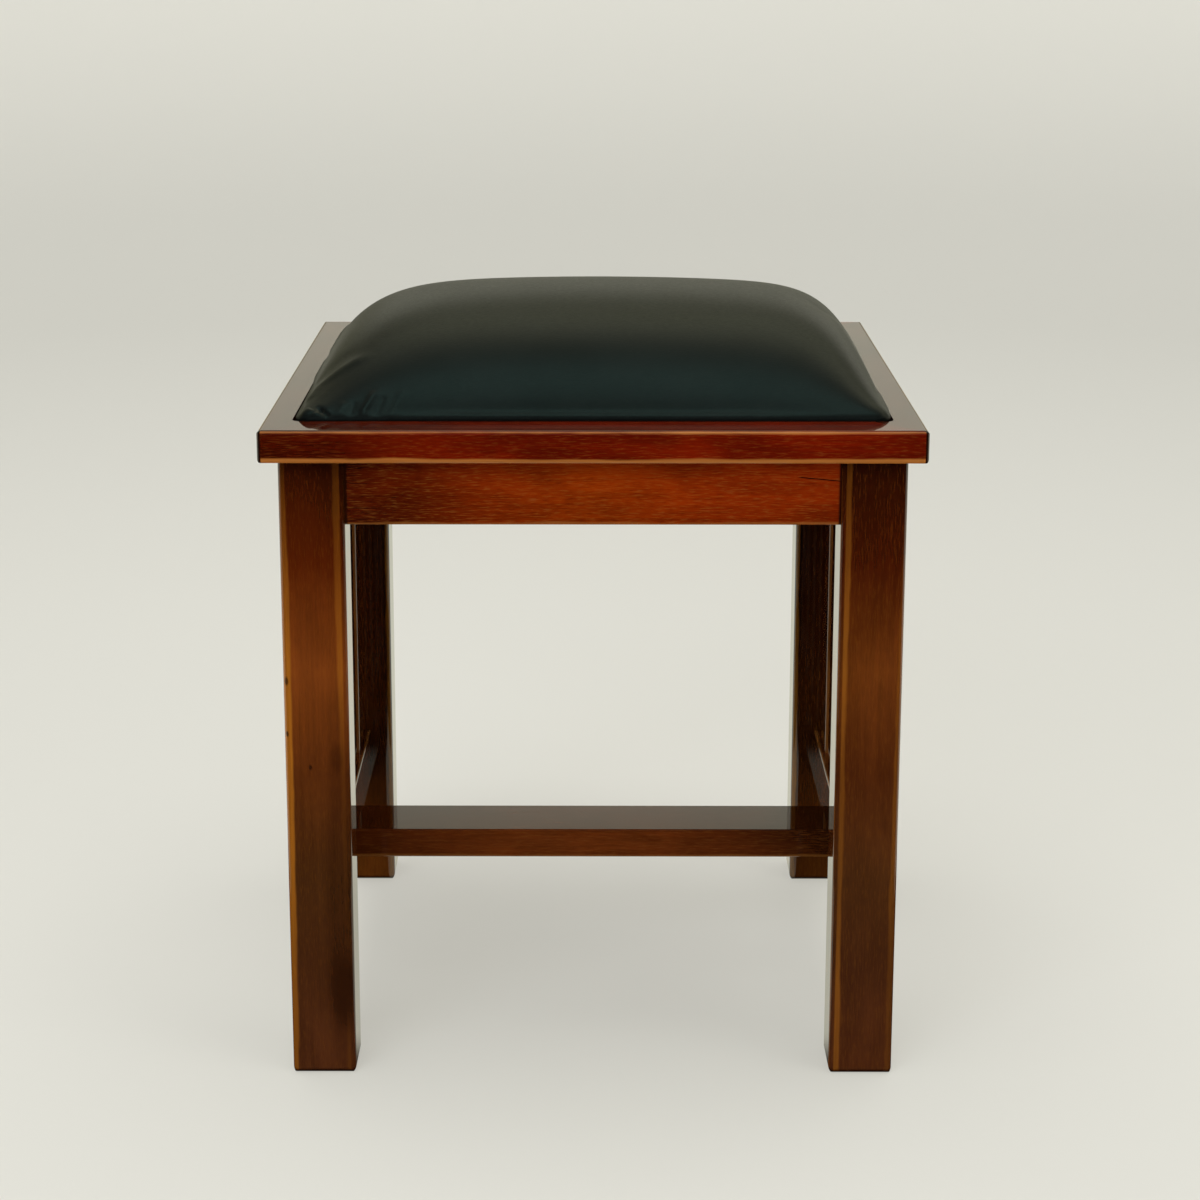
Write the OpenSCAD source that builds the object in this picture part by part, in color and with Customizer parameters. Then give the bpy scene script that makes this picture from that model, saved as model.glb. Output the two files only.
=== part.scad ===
// Low pub stool: four square legs, a mitred seat frame with a drop-in pad,
// slatted sides and a cross stretcher laid flat between them.
// Millimetres, +Z up. The origin is on the floor, under the middle of the seat.
// The front faces -Y, and left and right are those of a person who looks at it.

/* [Seat frame] */
// Width of the seat frame, side to side
seat_w = 400; // [360:1:460]
// Depth of the seat frame, front to back
seat_d = 400; // [360:1:460]
// Height of the frame's top above the floor
seat_h = 420; // [380:1:560]
// Thickness of the seat frame's rails
rail_t = 20; // [18:1:26]
// Width of each rail, with the ledge under the pad
rail_w = 50; // [46:1:60]
// Bare top of the side rails, beside the pad
side_margin = 18; // [14:1:24]
// Bare top of the front and back rails, before and behind the pad
end_margin = 29; // [22:1:32]
// Depth of the rebate that the pad drops into
rebate_depth = 11; // [9:0.5:11.5]
// Radius of the rails' outer arrises
rail_round = 3; // [1:0.5:5]
// Radius of the seat frame's four corners, seen from above
corner_round = 4; // [1:0.5:10]
// Radius of the rebate's corners, left by the router bit
rebate_round = 6; // [2:0.5:10]

/* [Legs] */
// Side of the square legs
leg_w = 40; // [38:1:50]
// Radius of the legs' long arrises
leg_round = 5; // [1:0.5:8]
// Radius round the edge of each foot
foot_round = 4; // [1:0.5:8]
// Overhang of the seat frame past the legs, at the sides
side_overhang = 10; // [6:1:16]
// Overhang of the seat frame past the legs, front and back
end_overhang = 16; // [10:1:18]

/* [Aprons] */
// Height of the aprons under the seat frame
apron_h = 42; // [40:1:70]
// Thickness of the aprons
apron_t = 20; // [18:1:22]
// Setback of the aprons from the legs' outer faces
apron_setback = 3; // [1:0.5:5]
// Radius of the aprons' lower arrises
apron_round = 2; // [1:0.5:4]

/* [Stretchers] */
// Height of the side stretchers' underside above the floor
stretcher_z = 83; // [50:1:140]
// Height of the side stretchers
stretcher_h = 37; // [34:1:50]
// Thickness of the side stretchers
stretcher_t = 20; // [18:1:24]
// Setback of the side stretchers from the legs' outer faces
stretcher_setback = 4; // [1:0.5:7]
// Width of the cross stretcher, which lies flat
cross_w = 48; // [42:1:70]
// Thickness of the cross stretcher
cross_t = 20; // [18:1:21]
// Rise of the cross stretcher's underside over that of the side stretchers
cross_rise = 1; // [0:0.5:3]
// Radius of the stretchers' arrises
stretcher_round = 1; // [0.5:0.5:4]

/* [Slats] */
// Width of each slat in the sides
slat_w = 33; // [20:1:40]
// Thickness of the slats
slat_t = 13; // [8:0.5:15]
// Radius of the slats' arrises
slat_round = 2; // [0.5:0.5:4]
// Depth that each end of a slat is housed
slat_housing = 8; // [4:0.5:10]

/* [Dowels and biscuits] */
// Diameter of the dowels
dowel_d = 8; // [6:0.5:8]
// Length of a biscuit in a mitre of the seat frame
biscuit_len = 47; // [36:1:56]
// Width of a biscuit, half of it in each rail
biscuit_w = 15; // [10:1:19]
// Thickness of a biscuit
biscuit_t = 4; // [3:0.5:4.5]

/* [Corner blocks] */
// Length of a corner block's glued face, from the leg along an apron
block_reach = 45; // [40:1:60]
// Height of a corner block
block_h = 30; // [27:1:36]
// Wood left under a block screw's head, in front of the apron
block_grip = 14; // [10:1:15]

/* [Screws] */
// Diameter of the wood screws
screw_d = 4; // [3:0.5:4.5]
// Diameter of the screws' heads
screw_head_d = 8; // [7:0.5:9]
// Height of a block screw's pan head
pan_head_h = 3; // [2:0.5:4]
// Length of the screws through the ledge into the legs
frame_screw_len = 36; // [25:1:50]
// Length of the screws through the corner blocks, under the head
block_screw_len = 30; // [22:1:31]

/* [Pad] */
// Gap between the pad and the wall of the rebate
pad_clear = 1; // [0.5:0.1:2]
// Height of the pad's crown over its board
pad_crown = 56.6; // [25:0.1:70]
// Radius of the pad's corners, seen from above
pad_corner = 12; // [7:0.5:24]
// How far the sides are drawn in between the corners
pad_draw = 1.2; // [0:0.1:3]
// Thickness of the pad's plywood board
board_t = 9; // [6:0.5:12]
// Thickness of the cover
cover_t = 1.2; // [0.8:0.1:1.6]
// Width of the cover's turned-under edge
cover_turn = 26; // [18:1:34]
// Thickness of the dust cloth
cloth_t = 0.4; // [0.3:0.1:0.6]
// Distance of the dust cloth's edge from the pad's edge
cloth_inset = 6; // [3:0.5:8]
// Width of a staple's crown
staple_w = 10; // [8:0.5:13]
// Length of a staple's legs
staple_leg = 6; // [4:0.5:8]
// Diameter of the staples' wire
staple_wire = 0.6; // [0.5:0.05:0.7]

/* [Hidden] */

$fn = 48;
// Overrun of every cutter past the face that it leaves
overrun = 1;
// Glue line round dowels, biscuits, slat ends and screws
glue_gap = 0.1;
// Least wood between a fastener and its neighbour
wood_between = 2;
// Wood left between a dowel's end and the far joint
dowel_wall = 5;
// Wood left behind a cross dowel in a side stretcher
dowel_backing = 8;

lacquer = "#6b2a12";
lacquer_light = "#8a3d18";
pale_beech = "#d9b98a";
plywood = "#c9a877";
steel = "#b9bcc0";
foam_grey = "#8c8c86";
cover_black = "#1c2224";
cloth_black = "#26262a";

// Faces of the legs, from the middle of the stool
leg_out_x = seat_w / 2 - side_overhang;
leg_out_y = seat_d / 2 - end_overhang;
leg_in_x = leg_out_x - leg_w;
leg_in_y = leg_out_y - leg_w;
leg_top = seat_h - rail_t;

ledge_z = seat_h - rebate_depth;
ledge_t = rail_t - rebate_depth;
rebate_x = seat_w / 2 - side_margin;
rebate_y = seat_d / 2 - end_margin;

// Middle planes and inner faces of the aprons
apron_mid = apron_setback + apron_t / 2;
apron_mid_x = leg_out_x - apron_mid;
apron_mid_y = leg_out_y - apron_mid;
apron_in_x = apron_mid_x - apron_t / 2;
apron_in_y = apron_mid_y - apron_t / 2;
apron_z = leg_top - apron_h;

stretcher_mid_x = leg_out_x - stretcher_setback - stretcher_t / 2;
stretcher_in_x = stretcher_mid_x - stretcher_t / 2;
stretcher_top = stretcher_z + stretcher_h;
cross_mid_z = stretcher_z + cross_rise + cross_t / 2;

// Slats are spaced evenly between the legs
slats = 5;
slat_gap = (2 * leg_in_y - slats * slat_w) / (slats + 1);
slat_bottom = stretcher_top - slat_housing;
slat_len = apron_z + slat_housing - slat_bottom;

// Dowels: two to a joint, clear of the slats' housings and of each other in the leg
dowel_r = dowel_d / 2;
dowel_depth = leg_w - apron_mid - dowel_r - dowel_wall;
apron_dowel_low = apron_z + slat_housing + wood_between + dowel_r;
apron_dowel_high = leg_top - wood_between - dowel_d;
stretcher_dowel_low = stretcher_z + dowel_r + wood_between * 3;
stretcher_dowel_high = slat_bottom - wood_between - dowel_r;
cross_dowel_in = stretcher_t - dowel_backing;
cross_dowel_y = cross_w / 4;

screw_r = screw_d / 2;
head_r = screw_head_d / 2;
csk_h = head_r - screw_r;
// One screw through each rail into the leg, clear of the aprons' dowels
end_screw = [leg_in_x + head_r, apron_mid_y - dowel_r - wood_between - screw_r];
side_screw = [apron_mid_x - dowel_r - wood_between - screw_r, leg_in_y + screw_head_d];
block_screw_z = (apron_dowel_low + apron_dowel_high) / 2;
block_screw_share = 0.5;

// The pad's layers, from the ledge up
pad_gap = 0.3;
cloth_z = ledge_z + pad_gap;
staple_z = cloth_z + cloth_t;
cover_z = staple_z + staple_wire;
board_z = cover_z + cover_t;
crown_z = board_z + board_t;
pad_x = rebate_x - pad_clear;
pad_y = rebate_y - pad_clear;
lining_gap = 0.2;
edge_inset = cover_t + lining_gap;
staple_pitch = 34;
staple_inset = 16;

// The crown is flat on top and steep at its edges: shares of the half width and half
// depth, raised to these powers
crown_power_x = 7.4;
crown_power_y = 2.7;
crown_power_z = 0.82;
// How far the crown falls from the middle towards the sides, as a share of its height
crown_fall_share = 0.13;
// Where the crown's rings lie, as shares of the way from the middle to the edge
ring_shares = [0.22, 0.42, 0.58, 0.7, 0.79, 0.86, 0.91, 0.945, 0.97, 0.987, 0.996];
// Points round each corner of a ring, and steps along each side
corner_steps = 6;
side_steps = 5;

// Puts what is drawn for the back right corner at any corner
module at_corner(sx, sy) {
    mirror([sx < 0 ? 1 : 0, 0, 0])
        mirror([0, sy < 0 ? 1 : 0, 0])
            children();
}

// Corner of a section that a round arris leaves, with its point at the origin
module arris_waste(r) {
    difference() {
        translate([-overrun, -overrun])
            square(r + overrun);
        translate([r, r])
            circle(r);
    }
}

// Rectangle with some corners rounded: 0 low left, 1 low right, 2 high right, 3 high left
module section(w, h, r, corners = [0, 1, 2, 3]) {
    difference() {
        square([w, h], center = true);
        for (k = corners)
            translate([(k == 1 || k == 2 ? w : -w) / 2, (k >= 2 ? h : -h) / 2])
                rotate(90 * k)
                    arris_waste(r);
    }
}

// Bar along X, its section drawn in Y and Z
module bar_x(len) {
    rotate([90, 0, 90])
        linear_extrude(len, center = true)
            children();
}

// Bar along Y, its section drawn in X and Z
module bar_y(len) {
    rotate([90, 0, 0])
        linear_extrude(len, center = true)
            children();
}

// Lens of pressed beech in the mitre, long way along the joint
module biscuit(gap = 0) {
    arc_r = (biscuit_len * biscuit_len + biscuit_w * biscuit_w) / (4 * biscuit_w);
    arc_shift = arc_r - biscuit_w / 2;
    translate([(seat_w - rail_w) / 2, (seat_d - rail_w) / 2, leg_top + ledge_t / 2])
        rotate(45)
            linear_extrude(biscuit_t + 2 * gap, center = true)
                intersection() {
                    translate([0, arc_shift])
                        circle(arc_r + gap, $fn = 96);
                    translate([0, -arc_shift])
                        circle(arc_r + gap, $fn = 96);
                }
}

// Countersunk screw that stands in the ledge, its head flush with it
module frame_screw(gap = 0) {
    translate([0, 0, ledge_z - frame_screw_len - gap])
        cylinder(frame_screw_len + gap, r = screw_r + gap);
    translate([0, 0, ledge_z - csk_h])
        cylinder(csk_h, r1 = screw_r + gap, r2 = head_r + gap);
}

module corner_frame_screws(gap = 0) {
    for (p = [end_screw, side_screw])
        translate(p)
            frame_screw(gap);
}

// Dowels of one corner's apron joints
module corner_apron_dowels(gap = 0) {
    for (z = [apron_dowel_low, apron_dowel_high]) {
        translate([leg_in_x, apron_mid_y, z])
            rotate([0, 90, 0])
                cylinder(2 * (dowel_depth + gap), r = dowel_r + gap, center = true);
        translate([apron_mid_x, leg_in_y, z])
            rotate([90, 0, 0])
                cylinder(2 * (dowel_depth + gap), r = dowel_r + gap, center = true);
    }
}

// Dowels between one leg and its side stretcher
module corner_stretcher_dowels(gap = 0) {
    for (z = [stretcher_dowel_low, stretcher_dowel_high])
        translate([stretcher_mid_x, leg_in_y, z])
            rotate([90, 0, 0])
                cylinder(2 * (dowel_depth + gap), r = dowel_r + gap, center = true);
}

// Dowels between one side stretcher and the cross stretcher
module end_cross_dowels(gap = 0) {
    for (y = [-cross_dowel_y, cross_dowel_y])
        translate([stretcher_in_x - dowel_depth - gap, y, cross_mid_z])
            rotate([0, 90, 0])
                cylinder(dowel_depth + cross_dowel_in + 2 * gap, r = dowel_r + gap);
}

// Pan-head screw along +Y with the underside of its head at the origin
module pan_screw(gap = 0, reach = 0) {
    rotate([-90, 0, 0]) {
        cylinder(block_screw_len + gap, r = screw_r + gap);
        translate([0, 0, -pan_head_h - reach])
            cylinder(pan_head_h + reach, r = head_r + gap);
    }
}

// The two screws of one corner block, each square to its apron
module corner_block_pair(gap = 0, reach = 0) {
    translate([leg_in_x - block_reach * block_screw_share, apron_in_y - block_grip, block_screw_z])
        pan_screw(gap, reach);
    translate([apron_in_x - block_grip, leg_in_y - block_reach * block_screw_share, block_screw_z])
        rotate(-90)
            pan_screw(gap, reach);
}

// Rebate for the pad, open at the top
module rebate() {
    translate([0, 0, ledge_z])
        linear_extrude(rebate_depth + overrun)
            section(2 * rebate_x, 2 * rebate_y, rebate_round);
}

// Outline of the whole seat frame, with its rounded corners
module frame_outline() {
    translate([0, 0, leg_top - overrun])
        linear_extrude(rail_t + 2 * overrun)
            section(seat_w, seat_d, corner_round);
}

// Front rail: a bar with two round arrises, mitred at both ends and rebated for the pad
module end_rail() {
    difference() {
        intersection() {
            translate([0, (rail_w - seat_d) / 2, leg_top + rail_t / 2])
                bar_x(seat_w)
                    section(rail_w, rail_t, rail_round, [0, 3]);
            translate([0, 0, leg_top - overrun])
                linear_extrude(rail_t + 2 * overrun)
                    polygon([[-seat_w / 2, -seat_d / 2], [seat_w / 2, -seat_d / 2],
                        [seat_w / 2 - rail_w, rail_w - seat_d / 2], [rail_w - seat_w / 2, rail_w - seat_d / 2]]);
            frame_outline();
        }
        rebate();
        for (sx = [-1, 1])
            at_corner(sx, -1) {
                biscuit(glue_gap);
                corner_frame_screws(glue_gap);
            }
    }
}

// Left rail, mitred and rebated like the front one
module side_rail() {
    difference() {
        intersection() {
            translate([(rail_w - seat_w) / 2, 0, leg_top + rail_t / 2])
                bar_y(seat_d)
                    section(rail_w, rail_t, rail_round, [0, 3]);
            translate([0, 0, leg_top - overrun])
                linear_extrude(rail_t + 2 * overrun)
                    polygon([[-seat_w / 2, -seat_d / 2], [rail_w - seat_w / 2, rail_w - seat_d / 2],
                        [rail_w - seat_w / 2, seat_d / 2 - rail_w], [-seat_w / 2, seat_d / 2]]);
            frame_outline();
        }
        rebate();
        for (sy = [-1, 1])
            at_corner(-1, sy) {
                biscuit(glue_gap);
                corner_frame_screws(glue_gap);
            }
    }
}

module seat_rail_front() {
    color(lacquer_light)
        end_rail();
}

module seat_rail_back() {
    color(lacquer_light)
        mirror([0, 1, 0])
            end_rail();
}

module seat_rail_left() {
    color(lacquer_light)
        side_rail();
}

module seat_rail_right() {
    color(lacquer_light)
        mirror([1, 0, 0])
            side_rail();
}

module corner_biscuits() {
    color(pale_beech)
        for (sx = [-1, 1], sy = [-1, 1])
            at_corner(sx, sy)
                biscuit();
}

// Leg of the back right corner: round long arrises and a rounded foot
module leg() {
    color(lacquer)
        difference() {
            translate([leg_out_x - leg_w / 2, leg_out_y - leg_w / 2, leg_top / 2])
                intersection() {
                    linear_extrude(leg_top, center = true)
                        section(leg_w, leg_w, leg_round);
                    bar_x(leg_w + overrun)
                        section(leg_w, leg_top, foot_round, [0, 1]);
                    bar_y(leg_w + overrun)
                        section(leg_w, leg_top, foot_round, [0, 1]);
                }
            corner_apron_dowels(glue_gap);
            corner_stretcher_dowels(glue_gap);
            corner_frame_screws(glue_gap);
        }
}

module leg_front_left() {
    at_corner(-1, -1)
        leg();
}

module leg_front_right() {
    at_corner(1, -1)
        leg();
}

module leg_back_left() {
    at_corner(-1, 1)
        leg();
}

module leg_back_right() {
    leg();
}

// Back apron, between the two back legs
module end_apron() {
    color(lacquer_light)
        difference() {
            translate([0, apron_mid_y, apron_z + apron_h / 2])
                bar_x(2 * leg_in_x)
                    section(apron_t, apron_h, apron_round, [0, 1]);
            for (sx = [-1, 1])
                at_corner(sx, 1) {
                    corner_apron_dowels(glue_gap);
                    corner_block_pair(glue_gap);
                }
        }
}

// Right apron, housed for the tops of the slats
module side_apron() {
    color(lacquer_light)
        difference() {
            translate([apron_mid_x, 0, apron_z + apron_h / 2])
                bar_y(2 * leg_in_y)
                    section(apron_t, apron_h, apron_round, [0, 1]);
            for (sy = [-1, 1])
                at_corner(1, sy) {
                    corner_apron_dowels(glue_gap);
                    corner_block_pair(glue_gap);
                }
            slat_row(glue_gap);
        }
}

module apron_front() {
    mirror([0, 1, 0])
        end_apron();
}

module apron_back() {
    end_apron();
}

module apron_left() {
    mirror([1, 0, 0])
        side_apron();
}

module apron_right() {
    side_apron();
}

module apron_dowels() {
    color(pale_beech)
        for (sx = [-1, 1], sy = [-1, 1])
            at_corner(sx, sy)
                corner_apron_dowels();
}

// Triangular block, notched round the leg and screwed to both aprons
module corner_block() {
    color(pale_beech)
        difference() {
            translate([0, 0, leg_top - block_h])
                linear_extrude(block_h)
                    polygon([[leg_in_x, apron_in_y], [leg_in_x - block_reach, apron_in_y],
                        [apron_in_x, leg_in_y - block_reach], [apron_in_x, leg_in_y], [leg_in_x, leg_in_y]]);
            corner_block_pair(glue_gap, block_reach);
        }
}

module corner_block_screws() {
    color(steel)
        for (sx = [-1, 1], sy = [-1, 1])
            at_corner(sx, sy)
                corner_block_pair();
}

module seat_frame_screws() {
    color(steel)
        for (sx = [-1, 1], sy = [-1, 1])
            at_corner(sx, sy)
                corner_frame_screws();
}

// Slat of the right side, counted from the front
module slat(index, gap = 0) {
    translate([stretcher_mid_x, (index - (slats + 1) / 2) * (slat_w + slat_gap), slat_bottom - gap])
        linear_extrude(slat_len + 2 * gap)
            section(slat_t + 2 * gap, slat_w + 2 * gap, slat_round + gap);
}

module slat_row(gap = 0) {
    for (index = [1 : slats])
        slat(index, gap);
}

module slat_right(index) {
    color(lacquer)
        slat(index);
}

module slat_left(index) {
    mirror([1, 0, 0])
        slat_right(index);
}

// Right stretcher, housed for the feet of the slats
module side_stretcher() {
    color(lacquer)
        difference() {
            translate([stretcher_mid_x, 0, stretcher_z + stretcher_h / 2])
                bar_y(2 * leg_in_y)
                    section(stretcher_t, stretcher_h, stretcher_round);
            for (sy = [-1, 1])
                at_corner(1, sy)
                    corner_stretcher_dowels(glue_gap);
            end_cross_dowels(glue_gap);
            slat_row(glue_gap);
        }
}

module side_stretcher_left() {
    mirror([1, 0, 0])
        side_stretcher();
}

module side_stretcher_right() {
    side_stretcher();
}

// Flat rail between the side stretchers, where the feet rest
module cross_stretcher() {
    color(lacquer)
        difference() {
            translate([0, 0, cross_mid_z])
                bar_x(2 * stretcher_in_x)
                    section(cross_w, cross_t, stretcher_round);
            for (sx = [-1, 1])
                at_corner(sx, 1)
                    end_cross_dowels(glue_gap);
        }
}

module stretcher_dowels() {
    color(pale_beech) {
        for (sx = [-1, 1], sy = [-1, 1])
            at_corner(sx, sy)
                corner_stretcher_dowels();
        for (sx = [-1, 1])
            at_corner(sx, 1)
                end_cross_dowels();
    }
}

// Points round the pad, as shares of the way along each side, from the middle of the right
// side; a is the half width, b the half depth and r the radius of the corners
function corner_arc(a, b, r, quarter) = [for (k = [0 : corner_steps - 1])
    let (turn = 90 * (quarter + k / (corner_steps - 1)))
    let (side = quarter < 1 || quarter > 2 ? 1 : -1, end = quarter < 2 ? 1 : -1)
    [side * (a - r) + r * cos(turn), end * (b - r) + r * sin(turn)]];
function side_run(from, to) = [for (k = [1 : side_steps - 1]) from + (to - from) * k / side_steps];
function outline(a, b, r) =
    let (arcs = [for (quarter = [0 : 3]) corner_arc(a, b, r, quarter)])
    [for (quarter = [0 : 3])
        each concat(arcs[quarter], side_run(arcs[quarter][corner_steps - 1], arcs[(quarter + 1) % 4][0]))];

// A point drawn in towards the middle of its side
function drawn_in(p, a, b) = [
    p[0] - sign(p[0]) * pad_draw * (1 - pow(p[1] / b, 2)) * pow(abs(p[0] / a), 4),
    p[1] - sign(p[1]) * pad_draw * (1 - pow(p[0] / a, 2)) * pow(abs(p[1] / b), 4)];

function crown_rise(p, a, b) =
    (1 - crown_fall_share * pow(p[0] / a, 2))
    * pow(max(0, 1 - pow(abs(p[0] / a), crown_power_x)) * max(0, 1 - pow(abs(p[1] / b), crown_power_y)),
        crown_power_z);

function flat_ring(a, b, r, z) = [for (p = outline(a, b, r)) [p[0], p[1], z]];
function crown_ring(a, b, r, z, crown, share) = [for (p = outline(a, b, r))
    let (q = drawn_in(p * share, a, b)) [q[0], q[1], z + crown * crown_rise(p * share, a, b)]];
// The crown over a pad, from next to its middle out to the straight edge of its board
function crown_rings(a, b, r, z, crown) = concat(
    [for (share = ring_shares) crown_ring(a, b, r, z, crown, share)],
    [flat_ring(a, b, r, z)]);
function reversed(list) = [for (k = [len(list) - 1 : -1 : 0]) list[k]];

// Closed skin through a row of rings with the same number of points, with a point at each end.
// From the ring at turn the rings run back, and their faces are split the other way, so that
// a lining's facets lie under those of the skin that goes over it
module lofted(first, rings, last, turn) {
    n = len(rings[0]);
    turn_row = is_undef(turn) ? len(rings) : turn;
    points = concat([first], [for (ring = rings) each ring], [last]);
    last_ring = 1 + (len(rings) - 1) * n;
    polyhedron(points, concat(
        [for (k = [0 : n - 1]) [0, 1 + (k + 1) % n, 1 + k]],
        [for (row = [0 : len(rings) - 2], k = [0 : n - 1])
            let (here = 1 + row * n, next = here + n, after = (k + 1) % n)
            each row < turn_row
                ? [[here + k, here + after, next + after], [here + k, next + after, next + k]]
                : [[here + k, here + after, next + k], [here + after, next + after, next + k]]],
        [for (k = [0 : n - 1]) [last_ring + k, last_ring + (k + 1) % n, len(points) - 1]]));
}

// Plywood board that carries the foam
module pad_board() {
    color(plywood)
        translate([0, 0, board_z + glue_gap])
            linear_extrude(board_t - glue_gap)
                section(2 * (pad_x - edge_inset), 2 * (pad_y - edge_inset), pad_corner - edge_inset);
}

// Foam with its crown, glued to the board
module pad_foam() {
    a = pad_x - edge_inset;
    b = pad_y - edge_inset;
    r = pad_corner - edge_inset;
    crown = pad_crown - edge_inset;
    color(foam_grey)
        lofted([0, 0, crown_z + crown], crown_rings(a, b, r, crown_z, crown), [0, 0, crown_z]);
}

// Cover: one skin drawn over the foam and turned under the board
module pad_cover() {
    a = pad_x - cover_t;
    b = pad_y - cover_t;
    r = pad_corner - cover_t;
    turn_r = min(pad_corner, cover_turn) / 2;
    crown = pad_crown - cover_t;
    edge_x = pad_x - cover_turn;
    edge_y = pad_y - cover_turn;
    over = crown_rings(pad_x, pad_y, pad_corner, crown_z, pad_crown);
    under = [flat_ring(pad_x, pad_y, pad_corner, board_z),
        flat_ring(a, b, r, cover_z),
        flat_ring(edge_x, edge_y, turn_r, cover_z),
        flat_ring(edge_x, edge_y, turn_r, board_z),
        flat_ring(a, b, r, board_z)];
    color(cover_black)
        lofted([0, 0, crown_z + pad_crown],
            concat(over, under, reversed(crown_rings(a, b, r, crown_z, crown))),
            [0, 0, crown_z + crown],
            len(over) + len(under));
}

// Staple under the board, its crown along X and its legs up through the cover
module staple() {
    translate([0, 0, staple_z + staple_wire / 2])
        cube([staple_w, staple_wire, staple_wire], center = true);
    for (sx = [-1, 1])
        translate([sx * (staple_w - staple_wire) / 2, 0, staple_z + (staple_wire + staple_leg) / 2])
            cube([staple_wire, staple_wire, staple_wire + staple_leg], center = true);
}

module pad_staples() {
    row_x = pad_x - staple_inset;
    row_y = pad_y - staple_inset;
    count_x = floor(2 * (row_x - pad_corner) / staple_pitch);
    count_y = floor(2 * (row_y - pad_corner) / staple_pitch);
    color(steel) {
        for (sy = [-1, 1], k = [0 : count_x - 1])
            translate([(k - (count_x - 1) / 2) * staple_pitch, sy * row_y, 0])
                staple();
        for (sx = [-1, 1], k = [0 : count_y - 1])
            translate([sx * row_x, (k - (count_y - 1) / 2) * staple_pitch, 0])
                rotate(90)
                    staple();
    }
}

// Black cloth under the pad, over the staples
module pad_dust_cloth() {
    color(cloth_black)
        translate([0, 0, cloth_z])
            linear_extrude(cloth_t)
                section(2 * (pad_x - cloth_inset), 2 * (pad_y - cloth_inset), pad_corner);
}

seat_rail_front();
seat_rail_back();
seat_rail_left();
seat_rail_right();
corner_biscuits();
leg_front_left();
leg_front_right();
leg_back_left();
leg_back_right();
apron_front();
apron_back();
apron_left();
apron_right();
apron_dowels();
at_corner(-1, -1) corner_block();  // corner_block_front_left
at_corner(1, -1) corner_block();  // corner_block_front_right
at_corner(-1, 1) corner_block();  // corner_block_back_left
at_corner(1, 1) corner_block();  // corner_block_back_right
corner_block_screws();
seat_frame_screws();
side_stretcher_left();
side_stretcher_right();
cross_stretcher();
stretcher_dowels();
slat_left(1);  // slat_left_1
slat_left(2);  // slat_left_2
slat_left(3);  // slat_left_3
slat_left(4);  // slat_left_4
slat_left(5);  // slat_left_5
slat_right(1);  // slat_right_1
slat_right(2);  // slat_right_2
slat_right(3);  // slat_right_3
slat_right(4);  // slat_right_4
slat_right(5);  // slat_right_5
pad_board();
pad_foam();
pad_cover();
pad_staples();
pad_dust_cloth();
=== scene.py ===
"""Looks of the low pub stool: lacquered wood, a drop-in leathercloth pad and its fixings."""
import math

import bmesh
import bpy
from mathutils import Matrix, Vector


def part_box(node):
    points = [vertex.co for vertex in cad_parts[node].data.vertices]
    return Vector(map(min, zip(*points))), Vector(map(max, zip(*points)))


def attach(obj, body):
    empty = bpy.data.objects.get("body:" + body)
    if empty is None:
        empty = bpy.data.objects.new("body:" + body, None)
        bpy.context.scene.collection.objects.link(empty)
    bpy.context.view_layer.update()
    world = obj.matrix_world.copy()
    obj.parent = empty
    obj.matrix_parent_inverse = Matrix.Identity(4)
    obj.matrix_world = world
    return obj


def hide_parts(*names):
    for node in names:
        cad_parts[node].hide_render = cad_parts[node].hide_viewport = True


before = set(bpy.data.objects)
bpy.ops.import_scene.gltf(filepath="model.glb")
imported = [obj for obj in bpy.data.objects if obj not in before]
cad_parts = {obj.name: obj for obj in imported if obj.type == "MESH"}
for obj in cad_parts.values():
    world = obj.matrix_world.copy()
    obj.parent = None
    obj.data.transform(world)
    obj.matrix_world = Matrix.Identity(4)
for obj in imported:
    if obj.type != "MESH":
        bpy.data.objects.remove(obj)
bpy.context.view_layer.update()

MM = 0.001
X, Y, Z = 0, 1, 2
SMOOTH = {"interpolation_type": "SMOOTHSTEP"}
scene = bpy.context.scene


def linear(hex_colour):
    """An sRGB hex colour as linear RGBA."""
    def channel(pair):
        value = int(pair, 16) / 255
        return value / 12.92 if value <= 0.04045 else ((value + 0.055) / 1.055) ** 2.4
    return [channel(hex_colour[i:i + 2]) for i in (1, 3, 5)] + [1.0]


def add(tree, kind, links=(), out=0, stops=(), **settings):
    """Adds a shader node and returns one of its outputs. links gives inputs, in order or by name or
    number, a value or another output; stops are a ramp's places with their colours or levels."""
    node = tree.nodes.new("ShaderNode" + kind)
    for name, value in settings.items():
        setattr(node, name, value)
    for name, value in (links.items() if isinstance(links, dict) else enumerate(links)):
        if isinstance(value, bpy.types.NodeSocket):
            tree.links.new(value, node.inputs[name])
        else:
            node.inputs[name].default_value = value
    if stops:
        elements = node.color_ramp.elements
        while len(elements) < len(stops):
            elements.new(1.0)
        for element, (place, colour) in zip(elements, stops):
            element.position = place
            element.color = linear(colour) if isinstance(colour, str) else [colour] * 3 + [1.0]
    return node.outputs[out]


def new_material(name):
    """An empty material: it, its node tree, its shader and the piece's own coordinates."""
    material = bpy.data.materials.new(name)
    material.use_nodes = True
    tree = material.node_tree
    shader = tree.nodes["Principled BSDF"]
    return material, tree, shader, add(tree, "TexCoord", out="Object")


def pattern(tree, place, grain, across, along, seed, detail=2.0, roughness=0.5, distortion=0.0):
    """Clouds of noise of a size in millimetres across and along the grain axis, as a level from 0 to 1."""
    scale = [1000 / across] * 3
    scale[grain] = 1000 / along
    offset = [seed * 3.7, seed * 5.3, seed * 1.9]
    grained = add(tree, "Mapping", {"Vector": place, "Location": offset, "Scale": scale})
    return add(tree, "TexNoise", {"Vector": grained, "Scale": 1.0, "Detail": detail, "Roughness": roughness,
                                  "Distortion": distortion})


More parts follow.
